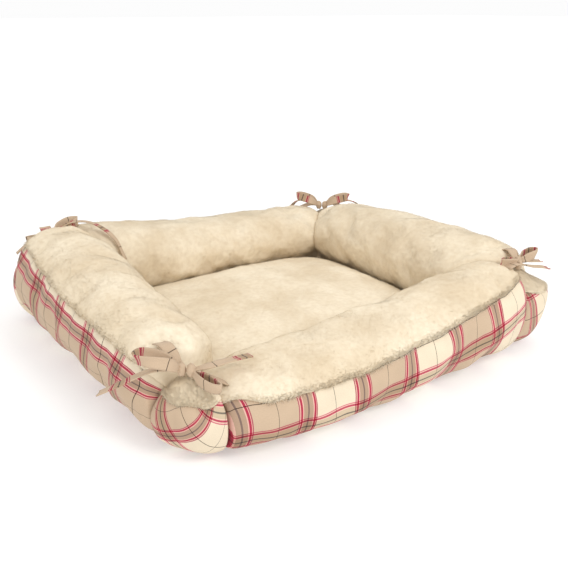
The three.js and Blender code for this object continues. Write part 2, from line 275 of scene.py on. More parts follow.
def pile_shell(name, source, chosen, depth, sink=SHELL_SINK):
    """A closed layer of plush over a cover's faces of one slot, its points' indices and its surface."""
    mesh = source.data
    index = np.zeros(len(mesh.polygons), int)
    mesh.polygons.foreach_get("material_index", index)
    faces = np.array([list(p.vertices) for p in mesh.polygons if len(p.vertices) == 4])
    quad = np.array([len(p.vertices) == 4 for p in mesh.polygons])
    faces = faces[(index[quad] == chosen)]
    used, compact = np.unique(faces, return_inverse=True)
    compact = compact.reshape(faces.shape)
    co, no = coords(mesh)[used], normals(mesh)[used]
    lift = depth(co, used)[:, None]
    outer = co + no * lift
    lower = co - no * sink
    n = len(used)
    edges = {}
    for face in compact:
        for k in range(4):
            a, b = face[k], face[(k + 1) % 4]
            if edges.pop((b, a), None) is None:
                edges[(a, b)] = True
    rim = [(a, a + n, b + n, b) for a, b in edges]
    every = compact.tolist() + (compact[:, ::-1] + n).tolist() + rim
    obj = make_object(name, np.vstack([outer, lower]), every)
    return obj, used, (outer, no, compact)


def fibres(name, surface, count, length, width, comb, lean, seed, share=None):
    """Fine closed spikes of pile, scattered evenly by area over a surface and combed one way."""
    co, no, faces = surface
    rng = np.random.default_rng(SEED + seed)
    a, b, c, d = (co[faces[:, k]] for k in range(4))
    area = np.linalg.norm(np.cross(c - a, d - b), axis=1)
    if share is not None:
        area = area * share[faces].mean(axis=1)
    pick = rng.choice(len(faces), count, p=area / area.sum())
    u, v = rng.random((2, count, 1))
    blend = lambda values: ((values[faces[pick, 0]] * (1 - u) + values[faces[pick, 1]] * u) * (1 - v)
                            + (values[faces[pick, 3]] * (1 - u) + values[faces[pick, 2]] * u) * v)
    root, up = blend(co), blend(no)
    up /= np.linalg.norm(up, axis=1, keepdims=True)
    way = comb(root, up) + rng.normal(0, 0.28, (count, 3))
    way -= up * np.sum(way * up, axis=1, keepdims=True)
    way /= np.maximum(np.linalg.norm(way, axis=1, keepdims=True), 1e-9)
    tilt = lean * rng.uniform(0.7, 1.25, (count, 1))
    run = length * rng.uniform(0.6, 1.25, (count, 1))
    side = np.cross(up, way)
    base = root - up * 0.6 * MM
    half = width * rng.uniform(0.7, 1.3, (count, 1)) / 2
    tip = root + (up * np.cos(tilt) + way * np.sin(tilt)) * run
    points = np.stack([base + side * half, base - side * half, base + way * half * 1.2, tip], 1)
    k = np.arange(count)[:, None] * 4
    tri = np.concatenate([k + [0, 1, 3], k + [1, 2, 3], k + [2, 0, 3], k + [1, 0, 2]])
    mesh = bpy.data.meshes.new(name)
    mesh.vertices.add(count * 4)
    mesh.vertices.foreach_set("co", points.ravel())
    mesh.loops.add(len(tri) * 3)
    mesh.loops.foreach_set("vertex_index", tri.ravel())
    mesh.polygons.add(len(tri))
    mesh.polygons.foreach_set("loop_start", np.arange(len(tri)) * 3)
    mesh.update(calc_edges=True)
    obj = bpy.data.objects.new(name, mesh)
    bpy.context.scene.collection.objects.link(obj)
    return obj


# ---- materials ----
def srgb(r, g, b):
    linear = lambda v: v / 12.92 if v <= 0.04045 else ((v + 0.055) / 1.055) ** 2.4
    return (*[linear(v / 255) for v in (r, g, b)], 1)


class Material:
    """A node material under construction."""

    def __init__(self, name, roughness, sheen, sheen_tint=(1, 1, 1, 1)):
        self.material = bpy.data.materials.new(name)
        self.material.use_nodes = True
        self.tree = self.material.node_tree
        self.shader = self.tree.nodes["Principled BSDF"]
        self.shader.inputs["Roughness"].default_value = roughness
        self.shader.inputs["Sheen Weight"].default_value = sheen
        self.shader.inputs["Sheen Roughness"].default_value = 0.45
        self.shader.inputs["Sheen Tint"].default_value = sheen_tint
        self.shader.inputs["Specular IOR Level"].default_value = 0.2

    def feed(self, value, socket):
        if isinstance(value, bpy.types.NodeSocket):
            self.tree.links.new(value, socket)
        else:
            socket.default_value = value

    def math(self, operation, a, b=0.0):
        node = self.tree.nodes.new("ShaderNodeMath")
        node.operation = operation
        self.feed(a, node.inputs[0])
        self.feed(b, node.inputs[1])
        return node.outputs[0]

    def mix(self, factor, a, b, blend="MIX"):
        node = self.tree.nodes.new("ShaderNodeMix")
        node.data_type = "RGBA"
        node.blend_type = blend
        self.feed(factor, node.inputs[0])
        self.feed(a, node.inputs[6])
        self.feed(b, node.inputs[7])
        return node.outputs[2]

    def ramp(self, value, stops, constant=False):
        node = self.tree.nodes.new("ShaderNodeValToRGB")
        node.color_ramp.interpolation = "CONSTANT" if constant else "LINEAR"
        elements = node.color_ramp.elements
        while len(elements) < len(stops):
            elements.new(0.5)
        for element, (position, colour) in zip(elements, stops):
            element.position = position
            element.color = colour
        self.feed(value, node.inputs[0])
        return node.outputs[0]

    def noise(self, scale, detail=2.0, vector=None):
        node = self.tree.nodes.new("ShaderNodeTexNoise")
        node.inputs["Scale"].default_value = scale
        node.inputs["Detail"].default_value = detail
        if vector is not None:
            self.tree.links.new(vector, node.inputs["Vector"])
        return node.outputs["Fac"]

    def position(self):
        return self.tree.nodes.new("ShaderNodeTexCoord").outputs["Object"]

    def bump(self, height, strength, distance, onto=None):
        node = self.tree.nodes.new("ShaderNodeBump")
        node.inputs["Strength"].default_value = strength
        node.inputs["Distance"].default_value = distance
        self.tree.links.new(height, node.inputs["Height"])
        if onto is not None:
            self.tree.links.new(onto, node.inputs["Normal"])
        return node.outputs["Normal"]

    def finish(self, colour, normal=None):
        self.feed(colour, self.shader.inputs["Base Color"])
        if normal is not None:
            self.tree.links.new(normal, self.shader.inputs["Normal"])
        return self.material


CREAM = (238, 222, 196)
TAN = (205, 180, 153)
DARK = (104, 93, 80)
WARP = {"thin": (176, 86, 98), "gap": (230, 184, 168), "line": (182, 56, 80), "ground": (184, 155, 131),
        "centre": (132, 110, 100)}
WEFT = {"thin": (212, 116, 130), "gap": (240, 206, 186), "line": (192, 78, 98), "ground": (211, 190, 161),
        "centre": (126, 117, 104)}
# One band of the plaid, from its left edge: kinds of stripe and widths as shares of the pitch.
BAND_SIDE = [("thin", 0.013), ("gap", 0.015), ("line", 0.030), ("gap", 0.013), ("ground", 0.065)]
BAND = BAND_SIDE + [("centre", 0.022)] + BAND_SIDE[::-1]
BAND_SHARE = sum(width for _, width in BAND)
DARK_SHARE = 0.011  # width of the thin dark line, as a share of the pitch


def filter_of(colour):
    """How a thread of this colour tints the cream cloth that it is woven into."""
    return (*[a / b for a, b in zip(srgb(*colour)[:3], srgb(*CREAM)[:3])], 1)


def stripes(threads, blocks):
    """Ramp stops for bands centred on each pitch boundary, with a thin dark line in each block."""
    stops = []
    n = len(blocks)
    for k, block in enumerate(blocks):
        edge = float(k)
        for kind, width in BAND:
            stops.append((edge, filter_of(threads[kind])))
            edge += width
        line = k + 0.5 + BAND_SHARE / 2
        stops += [(edge, filter_of(block)), (line - DARK_SHARE / 2, filter_of(DARK)),
                  (line + DARK_SHARE / 2, filter_of(block))]
    return [(edge / n, colour) for edge, colour in stops]


def plaid_material(name):
    m = Material(name, roughness=0.85, sheen=0.08)
    uv = m.tree.nodes.new("ShaderNodeUVMap")
    uv.uv_map = "cloth"
    split = m.tree.nodes.new("ShaderNodeSeparateXYZ")
    m.tree.links.new(uv.outputs["UV"], split.inputs[0])
    wobble = m.noise(9.0, 1.0, uv.outputs["UV"])
    wander = m.math("MULTIPLY", m.math("SUBTRACT", wobble, 0.5), 0.0012)

    def threads(axis, pitch, colours, blocks):
        place = m.math("ADD", m.math("ADD", split.outputs[axis], wander), BAND_SHARE / 2 * pitch)
        share = m.math("FRACT", m.math("DIVIDE", place, pitch * len(blocks)))
        return m.ramp(share, stripes(colours, blocks), constant=True)

    warp = threads(0, PLAID_PITCH_X, WARP, [CREAM, TAN])
    weft = threads(1, PLAID_PITCH_Y, WEFT, [CREAM])
    colour = m.mix(1.0, m.mix(1.0, srgb(*CREAM), warp, "MULTIPLY"), weft, "MULTIPLY")
    fade = m.ramp(m.noise(26.0, 3.0, uv.outputs["UV"]),
                  [(0.3, (0.86, 0.86, 0.86, 1)), (0.72, (0.95, 0.95, 0.95, 1))])
    slub = m.noise(900.0, 1.0, uv.outputs["UV"])
    colour = m.mix(1.0, colour, fade, "MULTIPLY")
    colour = m.mix(1.0, colour, m.ramp(slub, [(0.3, (0.92, 0.92, 0.91, 1)), (0.7, (1, 1, 1, 1))]), "MULTIPLY")

    def ribs(axis, across):
        wave = m.math("SINE", m.math("MULTIPLY", split.outputs[axis], 2 * math.pi / (0.9 * MM)))
        return m.math("ADD", wave, m.math("MULTIPLY", across, 1.5))

    weave = m.math("MULTIPLY", ribs(0, slub), ribs(1, slub))
    normal = m.bump(weave, 0.25, 0.15 * MM)
    normal = m.bump(m.noise(60.0, 4.0, uv.outputs["UV"]), 0.35, 1.2 * MM, normal)
    return m.finish(colour, normal)


# Painted light and shade of the plush: a lit tone and a shaded tone, scattered in random soft blotches as
# painted shading of brushed pile
PLUSH_LIT_TONE = srgb(238, 225, 201)
PLUSH_SHADED_TONE = srgb(220, 203, 175)
# painted shade, laid in the dips of the plush's fine bumps
PLUSH_DIP_SHADE = srgb(199, 176, 143)


def plush_material(name, depth, glow):
    """Short soft pile: painted shading of brushed pile in random lit and shaded blotches, fine mottling with
    painted shade in its dips, and a pale sheen at grazing angles.
    """
    m = Material(name, roughness=1.0, sheen=glow, sheen_tint=srgb(255, 243, 220))
    place = m.position()
    # painted shading: random soft blotches between the shaded and the lit tone, standing in for light on
    # brushed pile
    shading_blotches = m.ramp(m.noise(13.0, 4.0, place), [(0.36, PLUSH_SHADED_TONE), (0.62, PLUSH_LIT_TONE)])
    # one noise gives both the fine bumps and painted shade: darker where the bumps dip
    mottle_and_dip_shade = m.noise(170.0, 4.0, place)
    colour = m.mix(m.ramp(mottle_and_dip_shade, [(0.35, (0.55, 0.55, 0.55, 1)), (0.6, (0, 0, 0, 1))]), shading_blotches, PLUSH_DIP_SHADE)
    # depth is the share of the plain blotch tone laid back over the painted dip shade
    colour = m.mix(depth, colour, shading_blotches)
    normal = m.bump(mottle_and_dip_shade, 0.35, 1.0 * MM)
    normal = m.bump(m.noise(620.0, 2.0, place), 0.4, 0.4 * MM, normal)
    return m.finish(colour, normal)


PLAID = plaid_material("plaid_cotton")
PLUSH = plush_material("cream_plush", 0.6, 0.25)
FIBRE = plush_material("plush_pile", 0.9, 0.25)
FLOOR_GLOW = 0.34  # the floor's own light, which keeps shadows faint


def floor_material():
    m = Material("studio_floor", roughness=0.9, sheen=0.0)
    grain = m.ramp(m.noise(3.0, 2.0, m.position()), [(0.3, srgb(216, 216, 215)), (0.7, srgb(218, 218, 217))])
    m.shader.inputs["Emission Color"].default_value = (1, 1, 1, 1)
    m.shader.inputs["Emission Strength"].default_value = FLOOR_GLOW
    return m.finish(grain)


# ---- camera, light, floor ----
CAMERA_AZIMUTH = -33.6
CAMERA_ELEVATION = 20.5
CAMERA_DISTANCE = 1.024
CAMERA_TARGET = Vector((0.017, 0.001, 0.060))
LENS = 47.0
FLOOR_HALF = 30  # half the side of the floor, in metres
FLOOR_DROP = 0.4 * MM  # the floor's gap under the bed


def add_camera():
    a, e = math.radians(CAMERA_AZIMUTH), math.radians(CAMERA_ELEVATION)
    back = Vector((math.sin(a) * math.cos(e), -math.cos(a) * math.cos(e), math.sin(e)))
    right = Vector((math.cos(a), math.sin(a), 0))
    up = back.cross(right)
    data = bpy.data.cameras.new("camera")
    data.lens = LENS
    data.sensor_width = 36
    camera = bpy.data.objects.new("camera", data)
    turn = Matrix((right, up, back)).transposed().to_4x4()
    camera.matrix_world = Matrix.Translation(CAMERA_TARGET + back * CAMERA_DISTANCE) @ turn
    bpy.context.scene.collection.objects.link(camera)
    bpy.context.scene.camera = camera


def add_light(name, place, size, power):
    data = bpy.data.lights.new(name, "AREA")
    data.shape = "DISK"
    data.size = size
    data.energy = power
    light = bpy.data.objects.new(name, data)
    light.location = place
    light.rotation_euler = (Vector((0, 0, 0.05)) - Vector(place)).to_track_quat("-Z", "Y").to_euler()
    bpy.context.scene.collection.objects.link(light)


def add_studio():
    world = bpy.data.worlds.new("studio")
    world.use_nodes = True
    world.node_tree.nodes["Background"].inputs["Color"].default_value = (1, 1, 1, 1)
    world.node_tree.nodes["Background"].inputs["Strength"].default_value = 0.98
    bpy.context.scene.world = world
    add_light("key", (0.5, -1.9, 1.7), 0.9, 18)
    add_light("fill", (-1.5, -1.5, 0.7), 1.4, 6)
    add_light("top", (0.1, 0.5, 2.1), 1.4, 2)
    corners = [(-FLOOR_HALF, -FLOOR_HALF), (FLOOR_HALF, -FLOOR_HALF), (FLOOR_HALF, FLOOR_HALF),
               (-FLOOR_HALF, FLOOR_HALF)]
    floor = make_object("floor", [(x, y, -FLOOR_DROP) for x, y in corners], [(0, 1, 2, 3)])
    floor.data.materials.append(floor_material())
    bpy.context.scene.view_settings.view_transform = "Standard"


# ---- walls ----
PLAID_ROWS = 24
PLUSH_ROWS = 30
END_ROUND = [(0.0, 0.91), (0.6, 0.94), (1.8, 0.965), (4, 0.985), (8, 0.995)]  # mm from the end, scale
END_CAP = [0.0, 0.35, 0.68]
ALONG_STEPS = 58

# How each wall's cloth lies on the plaid: shifts along the wall and below its seam.
PLAID_SHIFT = {"front": (-2 * MM, 41 * MM), "right": (-9 * MM, 38 * MM),
               "back": (-2 * MM, 38 * MM), "left": (-9 * MM, 19 * MM)}
END_PULL = {"front": 1.5 * MM, "right": 0, "back": 0, "left": 0}  # how far a tie draws the cloth, at each end
CLOTH_SKEW = {"front": 0, "right": 0, "back": 0, "left": 0.45}  # slant of the bands, below the row band


def wall_section(wall, t):
    """Cross-section at a station, as even samples of (outward, up)."""
    out, crest = wall.at(wall.swell, t), wall.at(wall.crest, t)
    inner = wall.inner
    return closed_curve([
        (1.5 * MM, FOLD_HEIGHT), (0.45 * out, FOLD_HEIGHT - 1 * MM), (0.84 * out, 0.19 * crest),
        (out, 0.50 * crest), (0.91 * out, 0.81 * crest), (0.58 * out, 0.97 * crest), (10 * MM, crest),
        (-0.60 * inner, 0.89 * crest), (-inner, 0.67 * crest), (-0.80 * inner, 0.17 * crest + 28 * MM),
        (-0.32 * inner, 25 * MM),
    ])


def overhang(wall, t):
    """How far the plush hangs below its seam: most along the front's left half, in soft scallops."""
    uneven = float(waves(t * wall.half, 0.0, 0.045, 61)) * 0.9 * MM
    loose = 1 - smooth(-0.45, 0.0, t) if wall.name == "front" else 0.0
    rise = 12 * MM * smooth(0.80, 1.0, -t) if wall.name == "front" else 0.0
    return 0.6 * MM + uneven * (0.25 + 0.75 * loose) + 3 * MM * loose - rise


def wall_ring(wall, t):
    """A ring with a row on the plush's edge: its points and arc lengths, and those of edge and seam."""
    curve = wall_section(wall, t)
    seam = wall.at(wall.seam, t)
    first = int(np.argmax((curve[:, 0] > 0.02) & (curve[:, 1] >= seam)))
    length = np.linalg.norm(np.diff(curve, axis=0), axis=1).sum()
    sewn = first / (len(curve) - 1)
    share = sewn - overhang(wall, t) / length
    place = np.concatenate([np.linspace(0, share, PLAID_ROWS, endpoint=False),
                            np.linspace(share, 1, PLUSH_ROWS, endpoint=False)])
    index = place * (len(curve) - 1)
    ring = np.stack([np.interp(index, np.arange(len(curve)), curve[:, k]) for k in (0, 1)], -1)
    return ring, place * length, share * length, sewn * length


def build_wall(wall):
    rings = []
    half = wall.half - 0.7 * MM
    inset = 13 * MM / half
    body = np.linspace(-1 + inset, 1 - inset, ALONG_STEPS)
    start = [(-1, k, half - d * MM) for d, k in END_ROUND]
    end = [(1, k, half - d * MM) for d, k in reversed(END_ROUND)]
    cap_start = [(-1, END_ROUND[0][1] * k, half) for k in END_CAP]
    cap_end = [(1, END_ROUND[0][1] * k, half) for k in reversed(END_CAP)]
    plan = [(side * d / half, k, side * d) for side, k, d in cap_start + start]
    plan += [(t, 1.0, t * half) for t in body]
    plan += [(side * d / half, k, side * d) for side, k, d in end + cap_end]
    cloth = []
    edge = []
    for t, scale, s in plan:
        ring, arc, seam_arc, sewn_arc = wall_ring(wall, t)
        centre = np.array([0.02, 0.45 * wall.at(wall.crest, t)])
        ring = centre + (ring - centre) * scale
        wave = waves(np.full(len(arc), s), arc, 0.055, 3 + len(wall.name))
        near_seam = np.exp(-((arc - seam_arc) / 0.012) ** 2)
        pucker = near_seam * waves(np.full(len(arc), s), arc * 0.2, 0.024, 11) * 0.9 * MM
        normal = np.roll(ring, -1, axis=0) - np.roll(ring, 1, axis=0)
        normal = np.stack([normal[:, 1], -normal[:, 0]], -1)
        normal /= np.maximum(np.linalg.norm(normal, axis=1, keepdims=True), 1e-6)
        free = smooth(6 * MM, 40 * MM, arc) * smooth(6 * MM, 40 * MM, arc[-1] - arc)
        under = smooth(0, 10 * MM, arc - seam_arc) * (PILE - 0.5 * MM)
        ring = ring + normal * ((wave * 1.3 * MM + pucker) * free * (scale > 0.9) - under)[:, None]
        room = half + np.minimum(ring[:, 0], 0)
        rings.append(wall.world(s * room / half, ring[:, 0], ring[:, 1]))
        shift_along, below_seam = PLAID_SHIFT[wall.name]
        lie = arc - sewn_arc + below_seam
        pulled = (END_PULL[wall.name] * np.sign(s) * smooth(0.82, 1.0, abs(t))
                  * smooth(-40 * MM, 10 * MM, arc - sewn_arc))
        line = (np.full(len(arc), s) - pulled) * np.sign(wall.along.sum()) + shift_along
        line = line - CLOTH_SKEW[wall.name] * np.clip(-lie, 0, None)
        cloth.append(np.stack([line, lie] if wall.name in ("front", "back") else [lie, line], -1))
        edge.append(np.where(arc >= seam_arc, np.minimum(arc - seam_arc, arc[-1] - arc + 10 * MM), 0))
    rows = PLAID_ROWS + PLUSH_ROWS
    points = np.concatenate(rings)
    uv = np.concatenate(cloth)
    faces, slots = [], []
    for k in range(len(rings) - 1):
        for j in range(rows):
            a, b = k * rows + j, k * rows + (j + 1) % rows
            faces.append((a, b, b + rows, a + rows))
            slots.append(0 if j < PLAID_ROWS else 1)
    obj = make_object(f"{wall.name}_wall_cover", points, faces, uv, slots)
    weights(obj, "edge", np.clip(np.concatenate(edge) / EDGE_SPAN, 0, 1))
    obj.data.materials.append(PLAID)
    obj.data.materials.append(PLUSH)
    clean(obj)
    return obj


def clean(obj):
    """Merges the points that a cap closes on, and turns every face outwards."""
    import bmesh
    bm = bmesh.new()
    bm.from_mesh(obj.data)
    bmesh.ops.remove_doubles(bm, verts=bm.verts, dist=2e-5)
    bmesh.ops.recalc_face_normals(bm, faces=bm.faces)
    bm.to_mesh(obj.data)
    bm.free()
    obj.data.update()


def sink_covered(obj, slot, sink):
    """Draws a cover in where another layer lies over it."""
    mesh = obj.data
    inside = np.ones(len(mesh.vertices), bool)
    for polygon in mesh.polygons:
        if polygon.material_index != slot:
            inside[list(polygon.vertices)] = False
    co = coords(mesh)
    co[inside] -= normals(mesh)[inside] * sink
    set_coords(mesh, co)
    for polygon in mesh.polygons:
        polygon.material_index = 0


def combed(direction, seed=51):
    """Pile brushed one way and down, turning gently from patch to patch."""
    way = np.append(direction[:2], -0.6)

    def comb(root, up):
        x, y = root[:, 0] + root[:, 2], root[:, 1] - root[:, 2]
        swirl = np.stack([waves(x, y, 0.06, seed + k) for k in range(3)], -1)
        return way + swirl * 0.55
    return comb


def brushed(x, y):
    """Uneven height of brushed pile."""
    return waves(x, y, 0.030, 21) * 0.35 * MM + waves(x * 1.3, y, 0.009, 22) * 0.16 * MM


END_CLEAR = 3 * MM  # no pile nearer than this to a face that lies against a neighbour
FRINGE = {"front": 5200, "right": 2200, "back": 2200, "left": 2200}  # loose fibres along each seam


def finish_wall(wall):
    cover = build_wall(wall)
    local = wall.local(coords(cover.data))
    t = abs(local[:, 0]) / wall.half
    fold = (local[:, 2] < FOLD_HEIGHT + 14 * MM) & (abs(local[:, 1]) < 16 * MM)
    pinned = np.where(fold | (t > 0.93), 1.0, 0.0)
    inflate(cover, pinned, pressure=2.2, cap=5 * MM)
    subdivide(cover)
    edge = read_weights(cover, "edge") * EDGE_SPAN

    def depth(co, used):
        rise = np.sqrt(np.clip(edge[used] / (6 * MM), 0.12, 1))
        return (PILE + brushed(co[:, 0] + co[:, 2], co[:, 1] - co[:, 2])) * rise

    plush, used, surface = pile_shell(f"{wall.name}_wall_plush_cover", cover, 1, depth)
    plush.data.materials.append(PLUSH)
    sink_covered(cover, 1, 1.6 * MM)
    from_end = wall.half - abs(wall.local(coords(cover.data)[used])[:, 0])
    free = smooth(END_CLEAR, 2 * END_CLEAR, from_end)
    near = np.exp(-((edge[used] - 2 * MM) / (3.5 * MM)) ** 2) * free
    body = f"{wall.name}_wall"
    comb = combed(wall.out * 0.7)
    pile = fibres(f"{body}_pile", surface, FIBRES, FIBRE_LENGTH, FIBRE_WIDTH, comb, FIBRE_LEAN, 31, share=free)
    fringe = fibres(f"{body}_fringe", surface, FRINGE[wall.name], 5.5 * MM, 0.45 * MM, combed(wall.out * 0.9),
                    1.2, 32, share=near)
    for piece in (pile, fringe):
        piece.data.materials.append(FIBRE)
    for piece in (cover, plush, pile, fringe):
        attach(piece, body)
    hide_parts(f"{body}_plaid", f"{body}_filling")
    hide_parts(f"{body}_plush")


# ---- pad ----
def padded_top(x, y, height, softness=0.040):
    swell = lambda half, v: 1 - np.exp(-np.clip(half - abs(v), 0, None) / softness)
    return 6 * MM + (height - 6 * MM) * swell(HALF_X, x) * swell(HALF_Y, y)


def build_pad():
    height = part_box("plush_floor_panel")[1][2]
    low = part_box("plush_floor_panel")[0]
    half_x, half_y = -low[0], -low[1]
    xs = np.linspace(-half_x, half_x, 66)
    ys = np.linspace(-half_y, half_y, 60)
    grid_x, grid_y = np.meshgrid(xs, ys)
    top = padded_top(grid_x, grid_y, height - PILE)
    dents = waves(grid_x, grid_y, 0.11, 41) * 1.6 * MM + waves(grid_x, grid_y, 0.05, 42) * 0.6 * MM
    inside = smooth(0, 0.06, half_x - abs(grid_x)) * smooth(0, 0.06, half_y - abs(grid_y))
    top = top + dents * inside - 1.5 * MM
    ny, nx = grid_x.shape
    points = np.stack([grid_x, grid_y, top], -1).reshape(-1, 3)
    faces = [(j * nx + i, j * nx + i + 1, (j + 1) * nx + i + 1, (j + 1) * nx + i)
             for j in range(ny - 1) for i in range(nx - 1)]
    cover = make_object("pad_top", points, faces, points[:, :2], [1] * len(faces))
    cover.data.materials.append(PLUSH)
    cover.data.materials.append(PLUSH)
    subdivide(cover)

    def depth(co, used):
        return PILE + brushed(co[:, 0], co[:, 1])

    plush, _, surface = pile_shell("pad_plush_cover", cover, 1, depth, sink=1.5 * MM)
    plush.data.materials.append(PLUSH)
    comb = combed((0.5, -0.9))
    pile = fibres("pad_pile", surface, FIBRES, FIBRE_LENGTH, FIBRE_WIDTH, comb, FIBRE_LEAN, 33)
    pile.data.materials.append(FIBRE)
    bpy.data.objects.remove(cover)
    for piece in (plush, pile):
        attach(piece, "base")
    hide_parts("plush_floor_panel")
    core = build_pad_core(half_x - 2 * MM, half_y - 2 * MM, height)
    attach(core, "base")
    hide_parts("plaid_base_panel", "pad_filling")


def build_pad_core(half_x, half_y, height):
    """The stuffed pad itself in its plaid base: flat below, soft rounded rim."""
    xs = np.linspace(-half_x, half_x, 44)
    ys = np.linspace(-half_y, half_y, 40)
    grid_x, grid_y = np.meshgrid(xs, ys)
    rim = smooth(0, 10 * MM, np.minimum(half_x - abs(grid_x), half_y - abs(grid_y)))
    top = np.maximum(padded_top(grid_x, grid_y, height) - 6.5 * MM, 4.2 * MM)
    bottom = 2.4 * MM * (1 - rim)
    ny, nx = grid_x.shape
    n = nx * ny
    points = np.concatenate([np.stack([grid_x, grid_y, z], -1).reshape(-1, 3) for z in (top, bottom)])
    faces = []
    for j in range(ny - 1):
        for i in range(nx - 1):
            a, b, c, d = j * nx + i, j * nx + i + 1, (j + 1) * nx + i + 1, (j + 1) * nx + i
            faces += [(a, b, c, d), (d + n, c + n, b + n, a + n)]
    border = ([i for i in range(nx)] + [j * nx + nx - 1 for j in range(1, ny)]
              + [(ny - 1) * nx + i for i in range(nx - 2, -1, -1)] + [j * nx for j in range(ny - 2, 0, -1)])
    faces += [(a, a + n, b + n, b) for a, b in zip(border, border[1:] + border[:1])]
    core = make_object("pad_core", points, faces, points[:, :2])
    core.data.materials.append(PLAID)
    clean(core)
    return core


# ---- corner pouches ----
POUCH_TURNS = 46
POUCH_PLAID_ROWS = 24
POUCH_PLUSH_ROWS = 22
POUCH_SEAM = 0.785  # seam height as a share of the pouch's, half way round
POUCH_GAP = 1.1 * MM  # clear of the walls on both sides
LOBES = {"front_left": 3, "front_right": 2, "back_right": 3, "back_left": 2}


class Pouch:
    """A pouch's reach at each turn from X towards Y, its height and its widest height."""

    def __init__(self, name):
        self.sign_x, self.sign_y = CORNERS[name]
        points = node_points(f"corner_{name}_plaid")
        x = self.sign_x * points[:, 0] - HALF_X
        y = self.sign_y * points[:, 1] - HALF_Y
        reach, turn = np.hypot(x, y), np.arctan2(y, x)
        self.turns = np.radians(np.arange(0, 91, 18))
        rings = [abs(turn - each) < 0.08 for each in self.turns]
        self.reaches = [reach[ring].max() for ring in rings]
        self.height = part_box(f"corner_{name}_plush")[1][2]
        self.widest = points[:, 2][rings[2]][reach[rings[2]].argmax()]

    def outline(self, turn, samples=160):
        """From under the pouch's middle, round its belly, to its top, as (radius, up)."""
        reach, height = np.interp(turn, self.turns, self.reaches), self.height
        rise = self.widest + 0.56 * (height - self.widest)
        lower = bezier((0.45 * reach, 2.6 * MM), (0.80 * reach, 2.6 * MM), (reach, 0.50 * self.widest),
                       (reach, self.widest))
        upper = bezier((reach, self.widest), (reach, rise), (0.78 * reach, 0.90 * height),
                       (0.40 * reach, 0.965 * height))
        return even(np.vstack([[(1 * MM, 3 * MM)], lower, upper[1:], [(1 * MM, height)]]), samples)


def bezier(a, b, c, d, steps=16):
    t = np.linspace(0, 1, steps + 1)[:, None]
    a, b, c, d = (np.array(p) for p in (a, b, c, d))
    return a * (1 - t)**3 + 3 * b * t * (1 - t)**2 + 3 * c * t * t * (1 - t) + d * t**3


def build_pouch(name):
    pouch = Pouch(name)
    knot = KNOTS[name]
    rows = POUCH_PLAID_ROWS + POUCH_PLUSH_ROWS
    points, uv, edge = [], [], []
    for turn in np.linspace(0, math.pi / 2, POUCH_TURNS):
        curve = pouch.outline(turn)
        run = np.linspace(0, np.linalg.norm(np.diff(curve, axis=0), axis=1).sum(), len(curve))
        dip = 1 + 0.09 * (1 - math.sin(2 * turn)) + 0.015 * math.sin(turn * 9 + pouch.sign_x)
        past = (curve[:, 0] > 0.4 * curve[:, 0].max()) & (curve[:, 1] > POUCH_SEAM * dip * pouch.height)
        first = run[int(np.argmax(past))]
        arc = np.concatenate([np.linspace(0, first, POUCH_PLAID_ROWS, endpoint=False),
                              np.linspace(first, run[-1], POUCH_PLUSH_ROWS)])
        r, z = (np.interp(arc, run, curve[:, k]) for k in (0, 1))
        share = arc / run[-1]
        tuck = min(turn, math.pi / 2 - turn)
        puff = abs(math.sin(LOBES[name] * turn + 0.12 * math.sin(4 * turn))) ** 0.7
        gather = smooth(0.50, 0.68, share) * (1 - smooth(0.88, 1.0, share))
        crease = (puff - 0.75) * gather
        belly = smooth(0.25, 0.4, share) * (1 - smooth(0.5, 0.62, share))
        soft = math.sin(LOBES[name] * 2 * turn + 1) * belly
        r = r + crease * 4.4 * MM + soft * 0.8 * MM - 1.6 * MM * (1 - smooth(0, 0.2, tuck))
        z = z + crease * 3.0 * MM
        under = smooth(0, 9 * MM, arc - first) * (PILE + 0.6 * MM)
        z = np.maximum(z - under, 2.4 * MM)
        x = np.maximum(r * math.cos(turn), 0) + POUCH_GAP
        y = np.maximum(r * math.sin(turn), 0) + POUCH_GAP
        lift = np.exp(-((x - knot[0])**2 + (y - knot[0])**2) / (15 * MM)**2) * smooth(0.5, 0.7, share)
        z = z + lift * (knot[1] - 5 * MM - pouch.height)
        points.append(np.stack([pouch.sign_x * (HALF_X + x), pouch.sign_y * (HALF_Y + y), z], -1))
        (lean, stretch, at_x), at_y = POUCH_PLAID[name]
        flat_x, flat_y = arc * math.cos(turn), arc * math.sin(turn)
        across = stretch * (flat_x * math.cos(lean) + flat_y * math.sin(lean))
        uv.append(np.stack([across - at_x, flat_y - at_y], -1))
        edge.append(np.clip(arc - first, 0, None))
    faces, slots = [], []
    for k in range(POUCH_TURNS - 1):
        for j in range(rows - 1):
            a = k * rows + j
            faces.append((a, a + 1, a + 1 + rows, a + rows))
            slots.append(0 if j < POUCH_PLAID_ROWS else 1)
    # the two sides that lie against the walls, closed towards the pouch's own axis
    axis = (pouch.sign_x * (HALF_X + POUCH_GAP), pouch.sign_y * (HALF_Y + POUCH_GAP), 0)
    spine = points[0] * (0, 0, 1) + axis
    start = POUCH_TURNS * rows
    for base in (0, (POUCH_TURNS - 1) * rows):
        for j in range(rows - 1):
            faces.append((base + j, base + j + 1, start + j + 1, start + j))
            slots.append(0)
    edge = np.concatenate(edge + [np.zeros(rows)])
    obj = make_object(f"corner_{name}_cover", np.concatenate(points + [spine]), faces,
                      np.concatenate(uv + [uv[0]]), slots)
    weights(obj, "edge", np.clip(edge / EDGE_SPAN, 0, 1))
    obj.data.materials.append(PLAID)
    obj.data.materials.append(PLUSH)
    clean(obj)
    return obj


# How the plaid falls on each pouch: its bands' lean, stretch and place, and its rows' place.
POUCH_PLAID = {"front_left": ((0.31, 1.32, 0.012), 0.0285), "front_right": ((0.2, 1.1, 0.050), 0.040),
               "back_right": ((0.3, 1.2, 0.075), 0.030), "back_left": ((0.1, 1.1, 0.062), 0.026)}


